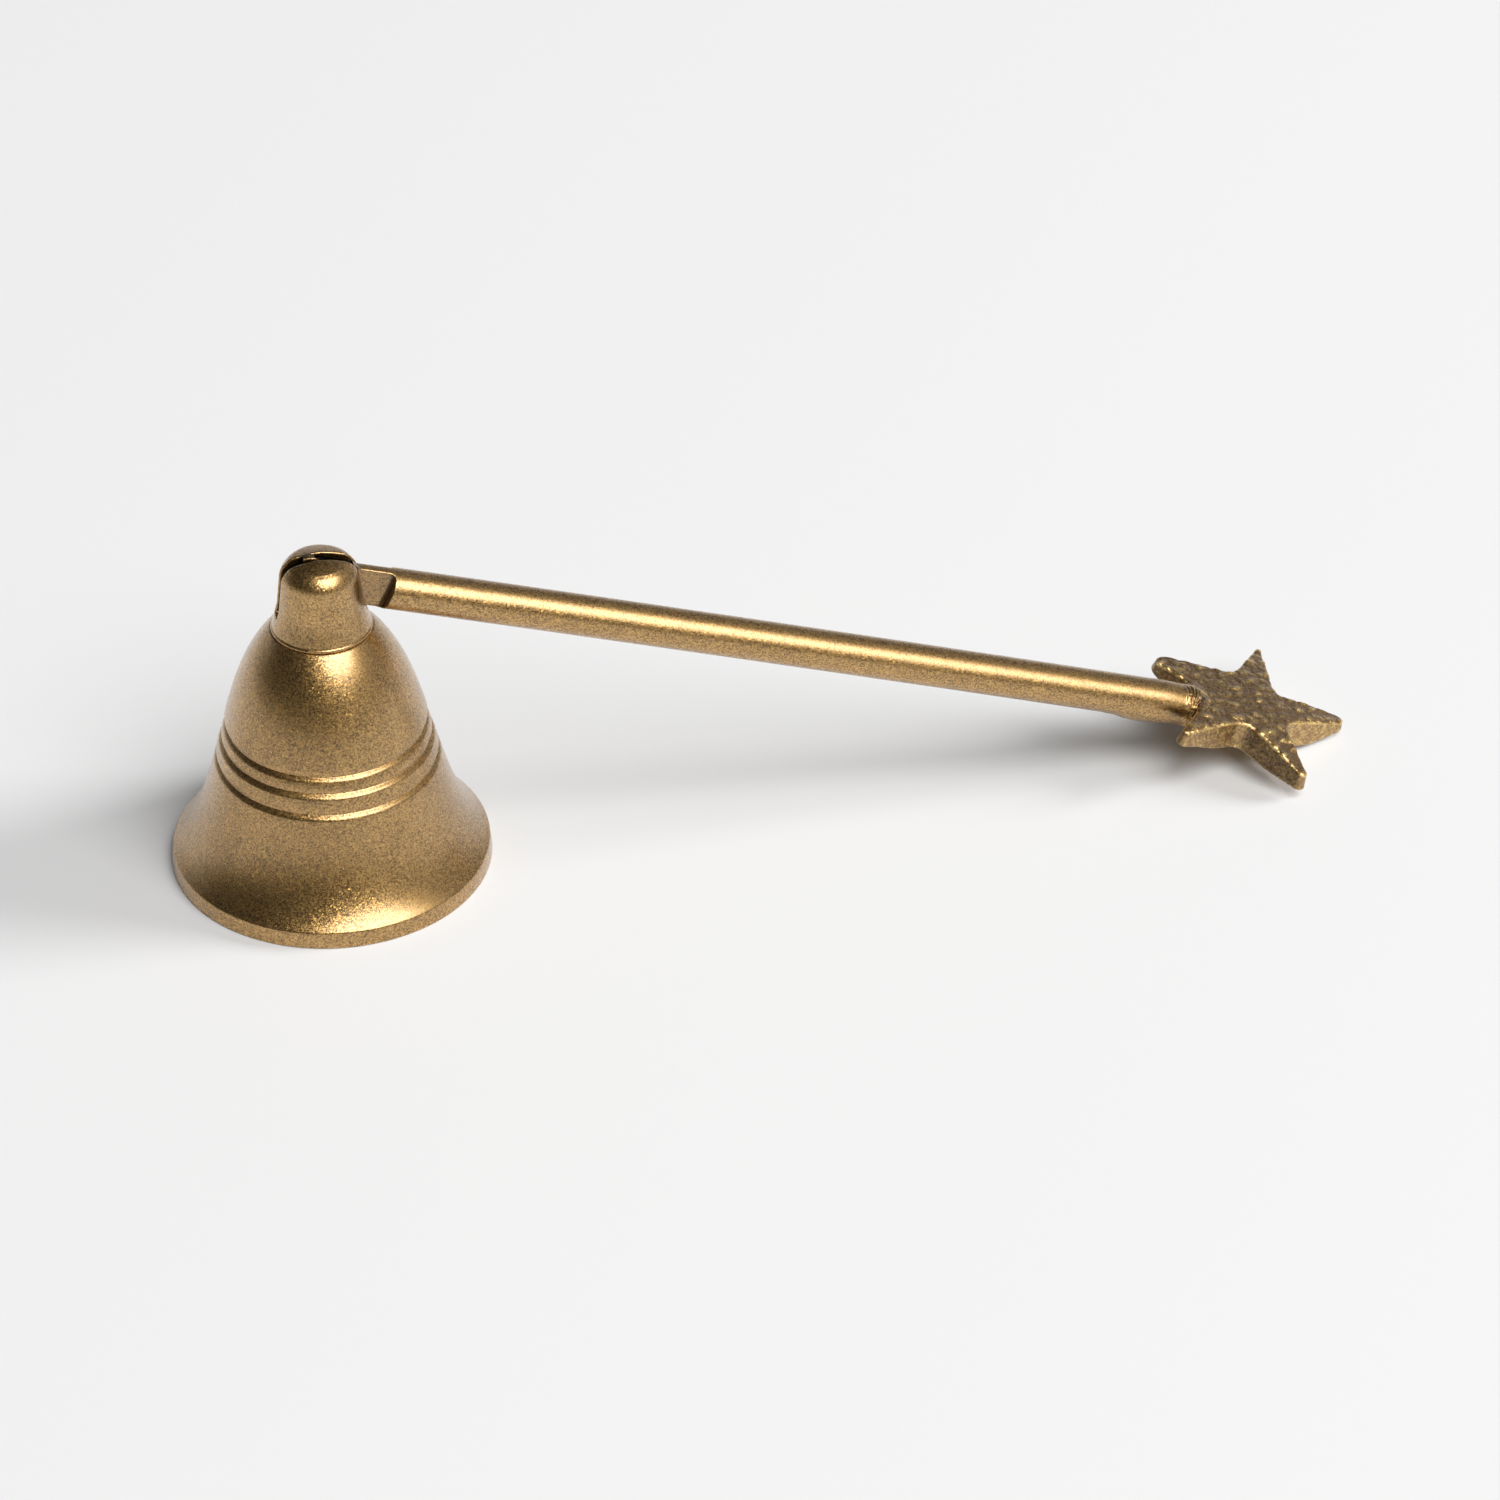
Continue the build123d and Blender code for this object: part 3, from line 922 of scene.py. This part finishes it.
def paint_material(name):
    """Satin gold-bronze paint: dark and light metal flakes with a soft mottle, under a clear coat."""
    nodes = Nodes(name)
    place = millimetre_place(nodes)
    mottle = noise_value(nodes, place, *mottle_noise)
    normal, flake = flake_normal(nodes, place, flake_tilt)
    flake_share = spread(nodes, flake.outputs["Red"], *flake_shares, *flake_range)
    mottle_share = spread(nodes, mottle, *mottle_shares)
    share = nodes.add("Math", {"operation": "ADD"}, i0=flake_share, i1=mottle_share)
    colour = mixed(nodes, share.outputs["Value"], paint_dark, paint_light)
    roughness = spread(nodes, flake.outputs["Green"], *paint_roughness, 0.0, 1.0)
    return finish_material(nodes, colour, roughness, normal)


def cast_material(name):
    """The same paint over a rough casting: darker in the hollows and rubbed bright on the lumps."""
    nodes = Nodes(name)
    place = millimetre_place(nodes)
    relief = nodes.add("Attribute", {"attribute_name": "relief"}).outputs["Fac"]
    fine = noise_value(nodes, place, *cast_noise)
    fine_tone = spread(nodes, fine, *cast_noise_tone)
    height = nodes.add("Math", {"operation": "ADD"}, i0=relief, i1=fine_tone).outputs["Value"]
    bump = nodes.add("Bump", None, Height=fine, Strength=cast_bump, Distance=cast_bump_depth * mm)
    normal, flake = flake_normal(nodes, place, cast_flake_tilt, bump.outputs["Normal"])
    colour = mixed(nodes, spread(nodes, height, 0.0, 1.0, *cast_tone_range), cast_dark, cast_light)
    flake_share = spread(nodes, flake.outputs["Red"], *cast_flake_shares, *cast_flake_range)
    colour = mixed(nodes, flake_share, colour, paint_light)
    roughness = spread(nodes, flake.outputs["Green"], *paint_roughness, 0.0, 1.0)
    return finish_material(nodes, colour, roughness, normal, cast_coat)


def steel_material(name):
    """Zinc-plated steel, with faint turning marks and a slightly uneven tone."""
    nodes = Nodes(name)
    place = millimetre_place(nodes)
    mottle = noise_value(nodes, place, *steel_mottle_noise)
    marks = noise_value(nodes, place, *turning_noise)
    bump = nodes.add("Bump", None, Height=marks, Strength=turning_bump, Distance=turning_bump_depth * mm)
    colour = mixed(nodes, spread(nodes, mottle, 0.0, 1.0), steel_dark, steel_light)
    roughness = spread(nodes, marks, *steel_roughness)
    return finish_material(nodes, colour, roughness, bump.outputs["Normal"], coat=0.0)


def direction(azimuth, elevation):
    """A unit vector, with azimuth 0 towards -Y and growing towards +X."""
    a, e = math.radians(azimuth), math.radians(elevation)
    return Vector((math.sin(a) * math.cos(e), -math.cos(a) * math.cos(e), math.sin(e)))


def add_camera():
    """The camera at the photograph's angle."""
    data = bpy.data.cameras.new("camera")
    data.lens = camera_lens
    data.sensor_width = camera_sensor
    camera = bpy.data.objects.new("camera", data)
    bpy.context.scene.collection.objects.link(camera)
    back = direction(camera_azimuth, camera_elevation)
    right = Vector((0, 0, 1)).cross(back).normalized()
    up = back.cross(right)
    turn = Matrix((right, up, back)).transposed().to_4x4()
    camera.matrix_world = Matrix.Translation(Vector(camera_place) * mm) @ turn
    bpy.context.scene.camera = camera


def add_world():
    """A dim grey room, paler on the right, with the pale sweep of the backdrop behind."""
    world = bpy.data.worlds.new("world")
    bpy.context.scene.world = world
    world.use_nodes = True
    tree = world.node_tree
    tree.nodes.clear()
    place = add_node(tree, "TexCoord", None, {}).outputs["Generated"]
    x, y, z = add_node(tree, "SeparateXYZ", None, {"Vector": place}).outputs

    def ramp(value, start, end, first, last):
        inputs = {"Value": value, "From_Min": start, "From_Max": end, "To_Min": first, "To_Max": last}
        node = add_node(tree, "MapRange", {"interpolation_type": "SMOOTHSTEP"}, inputs)
        return node.outputs["Result"]

    def joined(operation, first, second):
        node = add_node(tree, "Math", {"operation": operation}, {"i0": first, "i1": second})
        return node.outputs["Value"]

    horizon = ramp(z, 0.0, horizon_top, horizon_grey - room_grey, 0.0)
    right = ramp(x, 0.0, right_full, 0.0, right_grey)
    below_top = ramp(z, sweep_low, sweep_high, 1.0, 0.0)
    behind = joined("MULTIPLY", ramp(y, sweep_near, sweep_far, 0.0, sweep_grey), below_top)
    grey = joined("ADD", joined("MAXIMUM", joined("MAXIMUM", horizon, right), behind), room_grey)
    background = add_node(tree, "Background", None, {"Color": grey}).outputs["Background"]
    add_node(tree, "OutputWorld", None, {"Surface": background})


def add_soft_light(name, azimuth, elevation, distance, half_angle, radiance):
    """A round soft light that faces the object, with the radiance that its face shows."""
    radius = distance * math.tan(math.radians(half_angle))
    data = bpy.data.lights.new(name, "AREA")
    data.shape = "DISK"
    data.size = 2 * radius
    data.energy = radiance * math.pi * math.pi * radius ** 2
    lamp = bpy.data.objects.new(name, data)
    bpy.context.scene.collection.objects.link(lamp)
    towards = direction(azimuth, elevation)
    lamp.location = towards * distance
    lamp.rotation_euler = towards.to_track_quat("Z", "Y").to_euler()
    return lamp


def add_floor():
    """The pale floor, with a painted pool of light: darker far from the object."""
    mesh = bpy.data.meshes.new("floor")
    reach = floor_reach
    corners = [(-reach, -reach, 0), (reach, -reach, 0), (reach, reach, 0), (-reach, reach, 0)]
    mesh.from_pydata(corners, [], [(0, 1, 2, 3)])
    floor = bpy.data.objects.new("floor", mesh)
    bpy.context.scene.collection.objects.link(floor)
    nodes = Nodes("floor_pale")
    place = nodes.add("NewGeometry").outputs["Position"]
    distance = nodes.add("VectorMath", {"operation": "LENGTH"}, i0=place).outputs["Value"]
    grey = nodes.add("MapRange", {"interpolation_type": "SMOOTHSTEP"}, Value=distance,
                     From_Min=floor_fade_start, From_Max=floor_fade_end,
                     To_Min=floor_grey, To_Max=far_floor_grey).outputs["Result"]
    surface = nodes.add("BsdfDiffuse", None, Color=grey).outputs["BSDF"]
    nodes.add("OutputMaterial", None, Surface=surface)
    mesh.materials.append(nodes.material)


def repaint(node, material):
    """Gives a CAD node a material of its own."""
    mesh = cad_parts[node].data
    mesh.materials.clear()
    mesh.materials.append(material)


add_camera()
add_world()
add_soft_light("key_light", *key_light)
add_soft_light("side_light", *side_light).visible_glossy = False
add_floor()

gold_paint = paint_material("gold_paint")
add_bell(gold_paint)
add_knuckle(gold_paint)
add_pin(gold_paint)
add_rod(gold_paint)
add_bead(gold_paint)
add_star(cast_material("cast_gold_paint"))
plated_steel = steel_material("plated_steel")
repaint("crown_washer", plated_steel)
repaint("crown_nut", plated_steel)

bpy.context.scene.view_settings.view_transform = "Standard"
bpy.context.view_layer.update()
